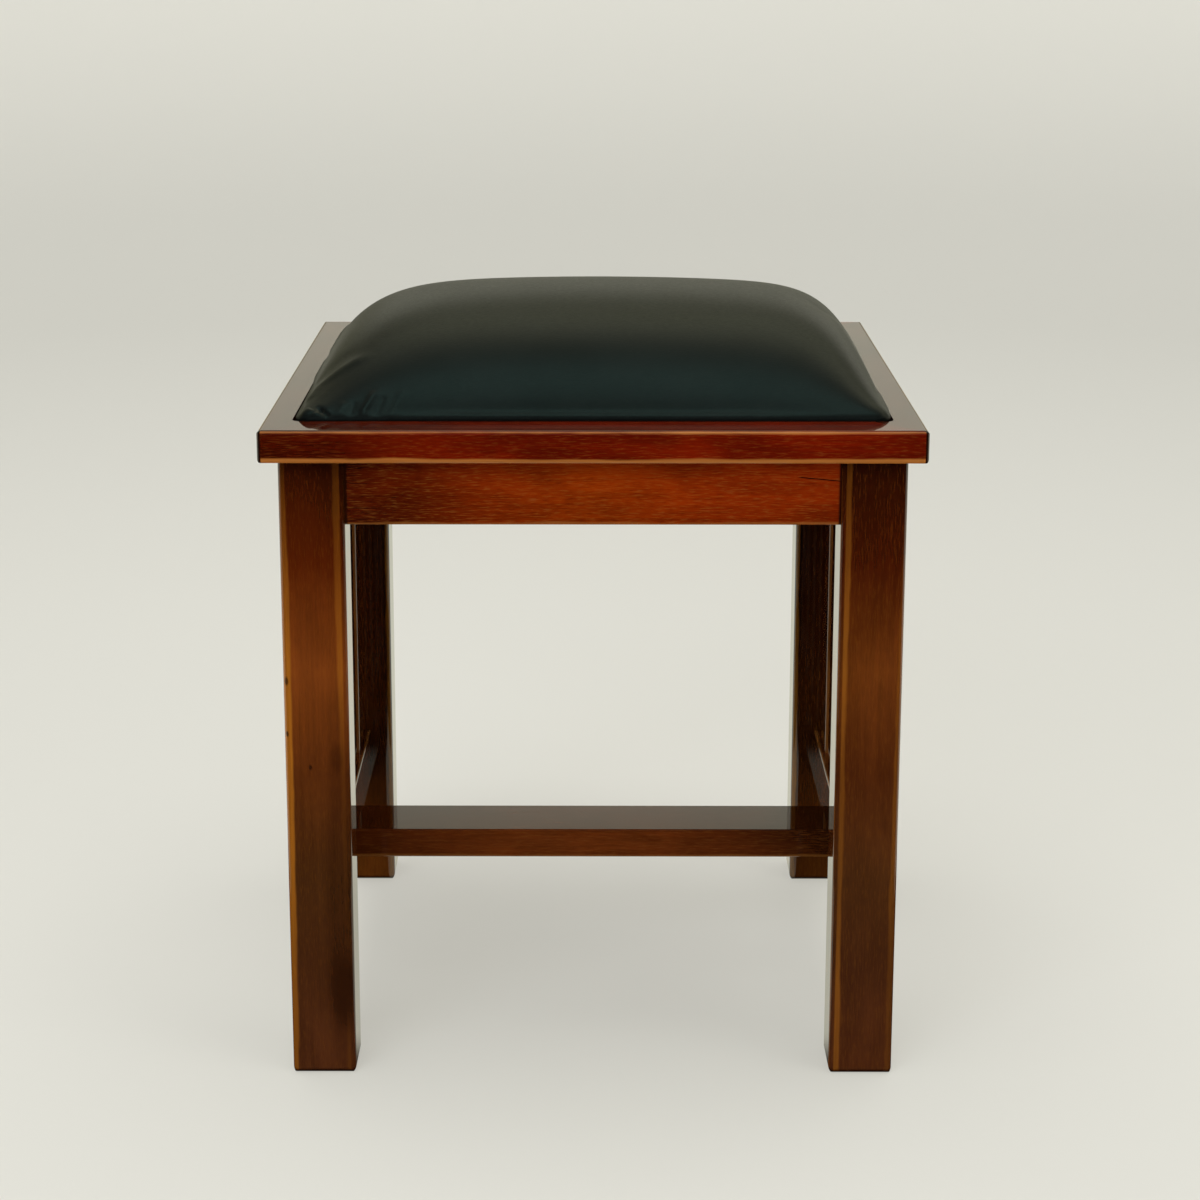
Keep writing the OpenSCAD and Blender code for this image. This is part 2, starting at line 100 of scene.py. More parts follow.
def evenly(levels):
    """Levels or colours as a ramp's stops, spread evenly."""
    return [(number / (len(levels) - 1), level) for number, level in enumerate(levels)]


def arris_distance(tree, place, node, grain):
    """Distance in millimetres to the nearest arris that runs along a node's grain."""
    low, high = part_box(node)
    centred = add(tree, "VectorMath", [place, (low + high) / 2], operation="SUBTRACT")
    folded = add(tree, "VectorMath", [centred], operation="ABSOLUTE")
    depth = add(tree, "VectorMath", [(high - low) / 2, folded], operation="SUBTRACT")
    parts = add(tree, "SeparateXYZ", [depth]).node.outputs
    first, second = [parts[axis] for axis in (X, Y, Z) if axis != grain]
    farther = add(tree, "Math", [first, second], operation="MAXIMUM")
    return add(tree, "Math", [farther, 1000.0], operation="MULTIPLY")


# Stained hardwood under gloss lacquer: spirit stain, brushed on darker and lighter and rubbed back
# beside the arrises, where it is golden, then sprayed lacquer that mirrors the room.
# For each piece its colours from one end of the grain to the other, the rubbed gold, and how much the
# grain's flecks show. On the legs these colours are partly painted light.
STAIN_AND_PAINTED_LIGHT = {
    # Front legs from the floor up: stain, greyed at the foot by a painted floor reflection and darkened at
    # the top by painted shade under the seat frame
    "left_leg": (["#4c2712", "#472510", "#49280f", "#50260b", "#7a3c13", "#4c1a03", "#2a0a01"],
                 "#985a18", 0.1),
    "right_leg": (["#4c2611", "#462410", "#46260f", "#4a220a", "#62300e", "#421503", "#280a01"],
                  "#94581a", 0.1),
    # Back legs: stain that darkens towards the top as painted shade under the seat
    "back_leg": (["#60320c", "#3c1c06", "#341404", "#2a0e02", "#220a01"], "#84561c", 0.12),
    "rail": (["#3e0b00", "#5e1101", "#621201", "#641201"], "#a4642c", 0.14),
    "side_rail": (["#3e1206", "#3e1206"], "#a06c26", 0.14),
    "apron": (["#3e0e01", "#681e02", "#802b02", "#782302", "#742102"], "#96602a", 0.28),
    "stretcher": (["#4c2008", "#68300e", "#662e0e", "#2c1204"], "#8a5826", 0.2),
    "slat": (["#4c240c", "#4c220a", "#40180a"], "#8a5826", 0.12),
}
# Dark stain in pores, mitres and cracks, and also the colour of the painted shade, shadows and dark
# reflection on the wood
DARK_STAIN_AND_SHADE = "#1c0802"
LACQUER_ROUGHNESS = 0.04
LACQUER_IOR = 1.58
PORE_DEPTH = 0.1 * MM
RIPPLE_DEPTH = 0.1 * MM
# Where stain and painted shade darken the wood, as the distances at which they begin and are full: a
# painted contact shadow up the foot, painted shade under the top of the frame, stain across a mitre,
# painted shade back from its tip at the outer corner, a painted shadow back from a joint's end, and stain
# across a crack, which tapers over its last 3 mm
FOOT_SHADOW = (4 * MM, 1.5 * MM)
TOP_SHADE = (0.6 * MM, 0.1 * MM)
MITRE_LINE = (1.5 * MM, 0.6 * MM)
TIP_SHADE = (1.7 * MM, 0.9 * MM)
BUTT_SHADOW = (2.2 * MM, 0.8 * MM)
CRACK_LINE = (0.5 * MM, 0.15 * MM)
CRACK_TAPER = 3
# Half the width over which one side's rubbed band gives way to the other's
TURN = 5 * MM


def give(node, material):
    """Puts a material on a CAD node."""
    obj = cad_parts[node]
    obj.data.materials.clear()
    obj.data.materials.append(material)


def from_end_to_end(tree, run, side, levels):
    """A level along the grain for each side of a piece, turned from one to the other by the side."""
    first, second = [add(tree, "ValToRGB", [run], stops=evenly(ends)) for ends in levels]
    return add(tree, "Mix", {0: side, 2: first, 3: second})


def stained_wood(node, stain, grain, arris, bands=((1.8, 1.8), (1.8, 1.8)), seed=0.0, depth=1.0,
                 contrast=1.0, starts=(0.0, 0.0), mitred=False, butted=False, foot=False, spots=(),
                 cracks=()):
    """Gives one node its lacquered wood: grain is its axis, depth the level of the stain and contrast that
    of its figure. A leg's arrises are rubbed at -X and +X, another piece's at its lower and upper side,
    though on a seat rail the upper band is a painted highlight: arris is the strength of each band and
    bands its width in millimetres, both from end to end, and starts is its distance from the arris."""
    shades, gold, fleck_share = STAIN_AND_PAINTED_LIGHT[stain]
    low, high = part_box(node)
    facing = X if grain == Z else Z
    material, tree, shader, place = new_material("lacquered_wood_" + node)
    # The stain lies in the lacquer, so only the lacquer's own face mirrors
    shader.inputs["Roughness"].default_value = 0.5
    shader.inputs["Specular IOR Level"].default_value = 0.0
    shader.inputs["Coat Weight"].default_value = 1.0
    shader.inputs["Coat Roughness"].default_value = LACQUER_ROUGHNESS
    shader.inputs["Coat IOR"].default_value = LACQUER_IOR
    parts = add(tree, "SeparateXYZ", [place]).node.outputs
    run = add(tree, "MapRange", [parts[grain], low[grain], high[grain]])
    colour = add(tree, "ValToRGB", [run], stops=evenly(shades))
    # Clouds of stain 30 mm across, growth rings 2.4 mm apart, and pores 0.7 mm wide and 7 mm long
    clouds = pattern(tree, place, grain, 30, 75, seed, 3.0, 0.5, 0.4)
    rings = pattern(tree, place, grain, 2.4, 90, seed + 1, 3.0, 0.6, 0.6)
    pores = pattern(tree, place, grain, 0.7, 7, seed + 2, 2.0, 0.6)
    figure = add(tree, "Mix", {0: 0.35, 2: clouds, 3: rings})
    darkest, lightest = (1 - 0.34 * contrast) * depth, (1 + 0.36 * contrast) * depth
    level = add(tree, "MapRange", [figure, 0.34, 0.66, darkest, lightest], **SMOOTH)
    colour = add(tree, "VectorMath", {0: colour, "Scale": level}, operation="SCALE")
    flecks = add(tree, "MapRange", [pores, 0.5, 0.72, 0.0, fleck_share], **SMOOTH)
    pore_share = 0.15 * contrast + fleck_share / 2
    dark_pores = add(tree, "MapRange", [pores, 0.46, 0.3, 0.0, pore_share], **SMOOTH)
    # What lies over the stain, from the first layer to the last: its share and its colour
    layers = [(flecks, gold), (dark_pores, DARK_STAIN_AND_SHADE)]
    # The rubbed bands end on a wavering line
    waver = pattern(tree, place, grain, 12, 40, seed + 3)
    middle = (low[facing] + high[facing]) / 2
    side = add(tree, "MapRange", [parts[facing], middle - TURN, middle + TURN], **SMOOTH)
    width = from_end_to_end(tree, run, side, bands)
    distance = arris_distance(tree, place, node, grain)
    past = add(tree, "Math", [distance, width], operation="SUBTRACT")
    past = add(tree, "Math", [waver, 3.0, past], operation="MULTIPLY_ADD")
    rubbed_and_highlight = add(tree, "MapRange", [past, 2.3, 0.7], **SMOOTH)
    if any(starts):
        start = add(tree, "MapRange", [side, 0.0, 1.0, *starts])
        inside = add(tree, "Math", [distance, start], operation="SUBTRACT")
        inside = add(tree, "MapRange", [inside, -0.6, 0.4], **SMOOTH)
        rubbed_and_highlight = add(tree, "Math", [rubbed_and_highlight, inside], operation="MULTIPLY")
    strength = from_end_to_end(tree, run, side, arris)
    worn = add(tree, "MapRange", [rings, 0.25, 0.6, 0.7, 1.0], **SMOOTH)
    strength = add(tree, "Math", [strength, worn], operation="MULTIPLY")
    layers.append((add(tree, "Math", [rubbed_and_highlight, strength], operation="MULTIPLY"), gold))
    if foot:
        # A painted contact shadow darkens the rounded edge of the foot
        foot_shadow = add(tree, "MapRange", [parts[Z], *FOOT_SHADOW, 0.0, 0.9], **SMOOTH)
        layers.append((foot_shadow, DARK_STAIN_AND_SHADE))
    if mitred:
        # Painted shade makes the top of the frame darker than its edge
        begin, full = [high.z - under for under in TOP_SHADE]
        layers.append((add(tree, "MapRange", [parts[Z], begin, full, 0.0, 0.4], **SMOOTH), DARK_STAIN_AND_SHADE))
        # Stain gathers in the glue line of the frame's mitres, and painted shade darkens the rounded outer
        # corner where it ends
        out_x, out_y = [add(tree, "Math", [parts[axis]], operation="ABSOLUTE") for axis in (X, Y)]
        off = add(tree, "Math", [out_x, out_y], operation="SUBTRACT")
        off = add(tree, "Math", [off], operation="ABSOLUTE")
        line = add(tree, "MapRange", [off, *MITRE_LINE], **SMOOTH)
        tip = add(tree, "Math", [out_x, out_y], operation="MINIMUM")
        begin, full = [high[grain] - back for back in TIP_SHADE]
        tip = add(tree, "MapRange", [tip, begin, full], **SMOOTH)
        layers.append((add(tree, "Math", [line, tip], operation="MAXIMUM"), DARK_STAIN_AND_SHADE))
    if butted:
        # A painted shadow darkens the joint at each end
        off = add(tree, "Math", [parts[grain]], operation="ABSOLUTE")
        begin, full = [high[grain] - back for back in BUTT_SHADOW]
        layers.append((add(tree, "MapRange", [off, begin, full, 0.0, 0.9], **SMOOTH), DARK_STAIN_AND_SHADE))
    # Spots darken the wood as knots and as painted dark reflection
    for x0, z0, half_w, half_h, strength in spots:
        offset = add(tree, "VectorMath", [place, Vector((x0, 0, z0)) * MM], operation="SUBTRACT")
        scaled = add(tree, "VectorMath", [offset, (1000 / half_w, 0, 1000 / half_h)], operation="MULTIPLY")
        reach = add(tree, "VectorMath", [scaled], "Value", operation="LENGTH")
        layers.append((add(tree, "MapRange", [reach, 1.1, 0.4, 0.0, strength], **SMOOTH), DARK_STAIN_AND_SHADE))
    for x0, x1, z0, z1 in cracks:
        height = add(tree, "MapRange", [parts[X], x0 * MM, x1 * MM, z0 * MM, z1 * MM])
        off = add(tree, "Math", [parts[Z], height], operation="SUBTRACT")
        off = add(tree, "Math", [off], operation="ABSOLUTE")
        line = add(tree, "MapRange", [off, *CRACK_LINE], **SMOOTH)
        start = add(tree, "MapRange", [parts[X], x0 * MM, (x0 + CRACK_TAPER) * MM])
        end = add(tree, "MapRange", [parts[X], x1 * MM, (x1 - CRACK_TAPER) * MM])
        taper = add(tree, "Math", [start, end], operation="MULTIPLY")
        layers.append((add(tree, "Math", [line, taper], operation="MULTIPLY"), DARK_STAIN_AND_SHADE))
    for share, shade in layers:
        colour = add(tree, "Mix", {0: share, 6: colour, 7: linear(shade)}, 2, data_type="RGBA")
    tree.links.new(colour, shader.inputs["Base Color"])
    bump = add(tree, "Bump", {"Strength": 0.25, "Distance": PORE_DEPTH, "Height": pores})
    tree.links.new(bump, shader.inputs["Normal"])
    # Sprayed lacquer dries in a faint ripple some 6 mm across
    ripple = pattern(tree, place, grain, 6, 14, seed + 4, 1.0)
    bump = add(tree, "Bump", {"Strength": 0.12, "Distance": RIPPLE_DEPTH, "Height": ripple})
    tree.links.new(bump, shader.inputs["Coat Normal"])
    give(node, material)


# The ends of a crack in each apron at the front and back, in X and then in Z, in millimetres
APRON_CRACK = (123, 165, 388, 384)
# On every seat rail, front, back and sides, the gold band at the upper arris is a painted highlight and the
# one at the lower arris rubbed stain
for number, side in enumerate(("front", "back")):
    stained_wood(f"seat_rail_{side}", "rail", X, ((1.0, 1.0), (0.9, 1.0)), ((3.0, 3.0), (1.2, 1.4)),
                 1.0 + number, mitred=True)
    stained_wood(f"apron_{side}", "apron", X, ((0.5, 0.5), (0.1, 0.1)), seed=6.0 + number, butted=True,
                 cracks=[APRON_CRACK])
for number, side in enumerate(("left", "right")):
    stained_wood(f"seat_rail_{side}", "side_rail", Y, ((0.8, 0.8), (0.5, 0.5)), seed=11.0 + number,
                 mitred=True)
    stained_wood(f"apron_{side}", "apron", Y, ((0.5, 0.5), (0.1, 0.1)), seed=21.0 + number, butted=True)
    stained_wood(f"side_stretcher_{side}", "stretcher", Y, ((0.6, 0.6), (0.6, 0.6)), seed=31.0 + number,
                 contrast=0.7, butted=True)
    for slat in range(1, 6):
        stained_wood(f"slat_{side}_{slat}", "slat", Z, ((0.6, 0.6), (0.6, 0.6)),
                     seed=41.0 + 5 * number + slat)
stained_wood("cross_stretcher", "stretcher", X, ((0.5, 0.5), (0.0, 0.0)), seed=61.0, contrast=0.7)
# Small knots on the front left leg, and a long painted dark reflection down the inner side of its face:
# place, half width and height, strength
KNOTS_AND_DARK_REFLECTION = [(-187.7, 260, 1.6, 3.5, 0.8), (-188, 226, 1.2, 2.4, 0.8), (-174.2, 204.6, 1.4, 2.2, 0.7),
         (-158, 211, 5, 12, 0.35), (-157, 58, 10, 34, 0.55), (-157, 120, 11, 150, 0.35)]
# For each leg the strength of its rubbed bands at -X and +X and their widths from the floor up, the
# distance of each from its arris, which leaves the arris itself unrubbed as painted shade, and the level of
# the stain
LEGS = {
    "front_left": ("left_leg",
                   ((0.5, 0.6, 0.9, 1.0, 1.0, 0.5, 0.1), (0.15, 0.0, 0.05, 0.15, 0.5, 0.3, 0.15)),
                   ((4.0, 4.2, 4.8, 5.4, 5.4, 5.0, 4.4), (5.0, 5.0, 5.0, 5.4, 6.2, 6.6, 6.2)),
                   (0.0, 3.0), 0.96, KNOTS_AND_DARK_REFLECTION),
    "front_right": ("right_leg",
                    ((0.5, 0.55, 0.35, 0.35, 0.65, 0.45, 0.3), (0.15, 0.15, 0.3, 0.3, 0.3, 0.1, 0.0)),
                    ((6.2, 6.0, 5.6, 5.6, 5.8, 6.2, 5.8), (4.6, 4.6, 4.4, 4.0, 3.4, 2.6, 1.0)),
                    (3.0, 1.5), 1.0, ()),
    "back_left": ("back_leg", ((0.5, 0.5), (0.8, 0.8)), ((3.0, 3.0, 2.0), (3.0, 3.0, 2.0)),
                  (0.0, 0.0), 1.0, ()),
    "back_right": ("back_leg", ((0.8, 0.8), (0.5, 0.5)), ((3.0, 3.0, 2.0), (3.0, 3.0, 2.0)),
                   (0.0, 0.0), 0.7, ()),
}
for number, (name, (stain, arris, bands, starts, depth, spots)) in enumerate(LEGS.items()):
    stained_wood("leg_" + name, stain, Z, arris, bands, 71.0 + number, depth, 0.6, starts, foot=True,
                 spots=spots)


def planed_beech():
    """Steamed beech, planed and left bare: pinkish tan with brown flecks 0.7 mm wide and 3 mm long."""
    material, tree, shader, place = new_material("planed_beech")
    shader.inputs["Roughness"].default_value = 0.6
    ground = pattern(tree, place, X, 4.2, 24, 5.0, 2.0, 0.5, 0.5)
    flecks = pattern(tree, place, X, 0.7, 3, 6.0)
    colour = add(tree, "ValToRGB", [ground], stops=[(0.3, "#c99f6e"), (0.7, "#dab486")])
    shown = add(tree, "MapRange", [flecks, 0.58, 0.72, 0.0, 0.5], **SMOOTH)
    colour = add(tree, "Mix", {0: shown, 6: colour, 7: linear("#9c6c42")}, 2, data_type="RGBA")
    tree.links.new(colour, shader.inputs["Base Color"])
    bump = add(tree, "Bump", {"Strength": 0.3, "Distance": PORE_DEPTH, "Height": flecks})
    tree.links.new(bump, shader.inputs["Normal"])
    return material


beech = planed_beech()
blocks = [f"corner_block_{end}_{side}" for end in ("front", "back") for side in ("left", "right")]
for node in ["corner_biscuits", "apron_dowels", "stretcher_dowels", *blocks]:
    give(node, beech)


PLY_T = 1.5 * MM


def plywood():
    """Birch plywood: pale, with plies that are pale and darker by turns at the edge."""
    material, tree, shader, place = new_material("birch_plywood")
    shader.inputs["Roughness"].default_value = 0.65
    face = pattern(tree, place, X, 5, 90, 3.0, 3.0, 0.5, 0.8)
    colour = add(tree, "ValToRGB", [face], stops=[(0.3, "#c49a68"), (0.7, "#dcbb8b")])
    height = add(tree, "SeparateXYZ", [place], Z)
    ply = add(tree, "Math", [height, PLY_T], operation="PINGPONG")
    stripe = add(tree, "MapRange", [ply, 0.6 * MM, 0.9 * MM], **SMOOTH)
    facing = add(tree, "SeparateXYZ", [add(tree, "TexCoord", out="Normal")], Z)
    facing = add(tree, "Math", [facing], operation="ABSOLUTE")
    upright = add(tree, "MapRange", [facing, 0.6, 0.4], **SMOOTH)
    edge = add(tree, "Math", [stripe, upright], operation="MULTIPLY")
    colour = add(tree, "Mix", {0: edge, 6: colour, 7: linear("#8a5c34")}, 2, data_type="RGBA")
    tree.links.new(colour, shader.inputs["Base Color"])
    return material


give("pad_board", plywood())


def zinc_steel():
    """Zinc-plated steel wire and screws: bright, a little cloudy."""
    material, tree, shader, place = new_material("zinc_plated_steel")
    shader.inputs["Metallic"].default_value = 1.0
    cloud = pattern(tree, place, X, 2.5, 2.5, 0.0, 3.0)
    colour = add(tree, "ValToRGB", [cloud], stops=[(0.3, "#a9adb1"), (0.7, "#c9ccd0")])
    tree.links.new(colour, shader.inputs["Base Color"])
    roughness = add(tree, "MapRange", [cloud, 0.3, 0.7, 0.28, 0.42], **SMOOTH)
    tree.links.new(roughness, shader.inputs["Roughness"])
    return material


steel = zinc_steel()
give("pad_staples", steel)


def new_object(name, bm, smooth=True):
    """An object from a bmesh."""
    mesh = bpy.data.meshes.new(name)
    bm.to_mesh(mesh)
    bm.free()
    obj = bpy.data.objects.new(name, mesh)
    scene.collection.objects.link(obj)
    mesh.polygons.foreach_set("use_smooth", [smooth] * len(mesh.polygons))
    return obj


def applied(obj):
    """Applies the object's modifiers to its mesh."""
    view = bpy.context.evaluated_depsgraph_get()
    mesh = bpy.data.meshes.new_from_object(obj.evaluated_get(view))
    obj.modifiers.clear()
    old, obj.data = obj.data, mesh
    bpy.data.meshes.remove(old)


def dressed(obj, material, body, node):
    """Gives a piece its material and its body, and hides the CAD node that it stands for."""
    obj.data.materials.append(material)
    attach(obj, body)
    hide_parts(node)


# Screws: pan heads in the corner blocks and countersunk heads in the ledge, with cross recesses
SCREW_R = 2 * MM
HEAD_R = 4 * MM
RECESS_W = 1.1 * MM
RECESS_L = 4.6 * MM
RECESS_DEEP = 1.8 * MM


def screw(name, profile, recess_z):
    """One screw down the Z axis from a half profile, with the cross recess cut in its head, half as
    wide at its bottom as at its top."""
    bm = bmesh.new()
    verts = [bm.verts.new((r, 0, z)) for r, z in profile]
    edges = [bm.edges.new(pair) for pair in zip(verts, verts[1:])]
    bmesh.ops.spin(bm, geom=verts + edges, cent=(0, 0, 0), axis=(0, 0, 1), angle=math.tau, steps=28,
                   use_merge=True)
    bmesh.ops.remove_doubles(bm, verts=bm.verts, dist=0.01 * MM)
    bmesh.ops.recalc_face_normals(bm, faces=bm.faces)
    obj = new_object(name, bm, smooth=False)
    for size in ((RECESS_L, RECESS_W), (RECESS_W, RECESS_L)):
        bm = bmesh.new()
        cube = bmesh.ops.create_cube(bm, size=1.0)["verts"]
        bmesh.ops.scale(bm, vec=(*size, 2 * RECESS_DEEP), verts=cube)
        bmesh.ops.scale(bm, vec=(0.5, 0.5, 1.0), verts=[vert for vert in cube if vert.co.z < 0])
        bmesh.ops.translate(bm, vec=(0, 0, recess_z), verts=cube)
        cutter = new_object("recess_cutter", bm)
        cut = obj.modifiers.new("recess", "BOOLEAN")
        cut.operation, cut.solver, cut.object = "DIFFERENCE", "EXACT", cutter
        applied(obj)
        bpy.data.objects.remove(cutter)
    return obj


def screw_set(name, one, turns, node):
    """Copies of a screw at each place and turn, as one piece."""
    bm = bmesh.new()
    for turn in turns:
        start = len(bm.verts)
        bm.from_mesh(one.data)
        bm.verts.ensure_lookup_table()
        bmesh.ops.transform(bm, matrix=turn, verts=bm.verts[start:])
    bpy.data.objects.remove(one)
    dressed(new_object(name, bm, smooth=False), steel, "stool_frame", node)


corners = [(sx, sy) for sx in (-1, 1) for sy in (-1, 1)]
# Each half profile ends in the screw's point, 5 mm long here and 6 mm on the countersunk screw
PAN_H = 3 * MM
BLOCK_SCREW = 30 * MM
pan = screw("pan_screw", [(0, PAN_H), (2.2 * MM, PAN_H), (3.1 * MM, 2.75 * MM), (3.7 * MM, 2.2 * MM),
                          (HEAD_R, 1.4 * MM), (HEAD_R, 0), (SCREW_R, 0), (SCREW_R, 5 * MM - BLOCK_SCREW),
                          (0, -BLOCK_SCREW)], PAN_H)
# Under side of each pan head, square to the front or back apron and to the side apron
end_place = Vector((127.5, 147, 381)) * MM
side_place = Vector((153, 121.5, 381)) * MM
turns = [Matrix.Translation((sx * end_place.x, sy * end_place.y, end_place.z))
         @ Matrix.Rotation(math.radians(90 * sy), 4, "X") for sx, sy in corners]
turns += [Matrix.Translation((sx * side_place.x, sy * side_place.y, side_place.z))
          @ Matrix.Rotation(math.radians(-90 * sx), 4, "Y") for sx, sy in corners]
screw_set("corner_block_pan_screws", pan, turns, "corner_block_screws")

FRAME_SCREW = 36 * MM
CSK_H = HEAD_R - SCREW_R
countersunk = screw("countersunk_screw", [(0, 0), (HEAD_R, 0), (SCREW_R, -CSK_H),
                                          (SCREW_R, 6 * MM - FRAME_SCREW), (0, -FRAME_SCREW)], 0)
# The places of two screws at each corner, and how far the recesses turn from one to the next
LEDGE_Z = 409 * MM
LEDGE_SCREWS = ((154, 163), (169, 152))
RECESS_TURN = 37
turns = [Matrix.Translation((sx * x * MM, sy * y * MM, LEDGE_Z))
         @ Matrix.Rotation(math.radians(RECESS_TURN * (number + sx)), 4, "Z")
         for number, (x, y) in enumerate(LEDGE_SCREWS) for sx, sy in corners]
screw_set("seat_frame_countersunk_screws", countersunk, turns, "seat_frame_screws")

pad_low, pad_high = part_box("pad_cover")
PAD_X = pad_high.x
PAD_Y = pad_high.y
CROWN_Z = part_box("pad_board")[1].z
PAD_CORNER = 12 * MM
# The sides are drawn in between the corners, in full from this height over the board up
PAD_DRAW = 1.2 * MM
DRAW_FULL_H = 8 * MM
COVER_T = 1.2 * MM
# The crown measured in the photograph: highest in the middle and rounder towards the left
CROWN_H = 56.6 * MM
CROWN_TILT = 0.15 * MM
CROWN_FALL = 0.136
CROWN_POWERS = (6.33, 8.87, 2.7, 0.821)
# At its four corners the cover is drawn down over the board's edge as a low upright rim
RIM_H = 5.5 * MM
RIM_W = 2.5 * MM
RIM_POWER = 7


def rounded_place(u, v, half_x, half_y, corner):
    """A point of the unit square as a place on a rectangle with rounded corners."""
    reach = max(abs(u), abs(v))
    x, y, r = u * half_x, v * half_y, corner * reach
    inner = Vector((max(r - half_x * reach, min(half_x * reach - r, x)),
                    max(r - half_y * reach, min(half_y * reach - r, y))))
    out = Vector((x, y)) - inner
    if abs(out.x) > 1e-9 and abs(out.y) > 1e-9:
        # A square ring turns the corner: the angle follows the place along it
        angle = 45 * abs(out.y / out.x) if abs(out.x) >= abs(out.y) else 90 - 45 * abs(out.x / out.y)
        angle = math.radians(angle)
        out = Vector((math.copysign(math.cos(angle), out.x), math.copysign(math.sin(angle), out.y))) * r
    return inner + out


def crown(x, y, height):
    """Height of the pad over its board."""
    left, right, depth, power = CROWN_POWERS
    across = max(0.0, 1 - abs(x / PAD_X) ** (left if x < 0 else right))
    along = max(0.0, 1 - abs(y / PAD_Y) ** depth)
    middle = (height + CROWN_TILT * x / PAD_X) * (1 - CROWN_FALL * (x / PAD_X) ** 2)
    return middle * (across * along) ** power


CROWDING = 0.92


def spread(t):
    """Grid steps that crowd towards the steep edge of the pad."""
    return math.copysign(math.sin(abs(t) * math.pi / 2) ** CROWDING, t)


def crown_grid(bm, steps, height):
    """The crown as a grid that ends at the top of the board all round."""
    for vert in bmesh.ops.create_grid(bm, x_segments=steps, y_segments=steps, size=1.0)["verts"]:
        u, v = spread(vert.co.x), spread(vert.co.y)
        x, y = rounded_place(u, v, PAD_X, PAD_Y, PAD_CORNER)
        inward = (1 - max(abs(u), abs(v))) * PAD_Y
        rim = RIM_H * (1 - math.exp(-inward / RIM_W)) * abs(x * y / (PAD_X * PAD_Y)) ** RIM_POWER
        rise = crown(x, y, height) + rim
        draw = PAD_DRAW * min(1.0, rise / DRAW_FULL_H)
        x -= math.copysign(draw * (1 - (y / PAD_Y) ** 2) * abs(x / PAD_X) ** 4, x)
        y -= math.copysign(draw * (1 - (x / PAD_X) ** 2) * abs(y / PAD_Y) ** 4, y)
        vert.co = (x, y, CROWN_Z + rise)


def loop_down(bm, shrink, z):
    """Carries the open edge on to a height, drawn in by a distance."""
    edges = [edge for edge in bm.edges if edge.is_boundary]
    verts = [item for item in bmesh.ops.extrude_edge_only(bm, edges=edges)["geom"]
             if isinstance(item, bmesh.types.BMVert)]
    bmesh.ops.scale(bm, vec=(1 - shrink / PAD_X, 1 - shrink / PAD_Y, 0), verts=verts)
    bmesh.ops.translate(bm, vec=(0, 0, z), verts=verts)


GRID_STEPS = 84
# The lower edge is rounded in two steps
EDGE_ROUND = 1.5 * MM
EDGE_MIDDLE = 0.4 * MM
COVER_TURN = 26 * MM
# The foam's push raises the middle of the crown by this much in the simulation
SWELL = 0.4 * MM
MAX_MOVE = 5 * MM
SWELL_FRAMES = 20
# From the board up to this height over it the cloth is held less and less
HELD_H = 10 * MM
bm = bmesh.new()
crown_grid(bm, GRID_STEPS, CROWN_H - SWELL)
loop_down(bm, 0.0, pad_low.z + EDGE_ROUND)
loop_down(bm, EDGE_MIDDLE, pad_low.z + EDGE_MIDDLE)
loop_down(bm, EDGE_ROUND, pad_low.z)
loop_down(bm, COVER_TURN, pad_low.z)
bmesh.ops.recalc_face_normals(bm, faces=bm.faces)
cover = new_object("pad_leathercloth", bm)


def swell(obj):
    """Lets the foam push the cover out as stretched cloth, held where it is drawn round the board."""
    rest = [vert.co.copy() for vert in obj.data.vertices]
    held = obj.vertex_groups.new(name="held")
    for number, co in enumerate(rest):
        above = (co.z - CROWN_Z) / HELD_H
        if above < 1:
            held.add([number], 1.0 if above <= 0 else (1 - above) ** 2, "REPLACE")
    cloth = obj.modifiers.new("cloth", "CLOTH")
    cloth.settings.vertex_group_mass = "held"
    cloth.settings.use_pressure = True
    cloth.settings.uniform_pressure_force = 4
    cloth.settings.effector_weights.gravity = 0
    cloth.point_cache.frame_end = SWELL_FRAMES
    for number in range(1, SWELL_FRAMES + 1):
        scene.frame_set(number)
    applied(obj)
    scene.frame_set(1)
    for vert, co in zip(obj.data.vertices, rest):
        move = vert.co - co
        vert.co = co + move * min(1.0, MAX_MOVE / max(move.length, 1e-9))
    obj.data.update()
    obj.vertex_groups.clear()


swell(cover)
cover.modifiers.new("finer", "SUBSURF").levels = 1
cover.modifiers["finer"].render_levels = 1
applied(cover)

# The tucked corner needs a finer mesh than the rest
TUCK_X = -120 * MM
TUCK_Y = -115 * MM
bm = bmesh.new()
bm.from_mesh(cover.data)
corner_faces = [face for face in bm.faces if face.calc_center_median().x < TUCK_X
                and face.calc_center_median().y < TUCK_Y]
corner_edges = list({edge for face in corner_faces for edge in face.edges})
bmesh.ops.subdivide_edges(bm, edges=corner_edges, cuts=1, use_grid_fill=True, smooth=0.0)
bm.to_mesh(cover.data)
bm.free()

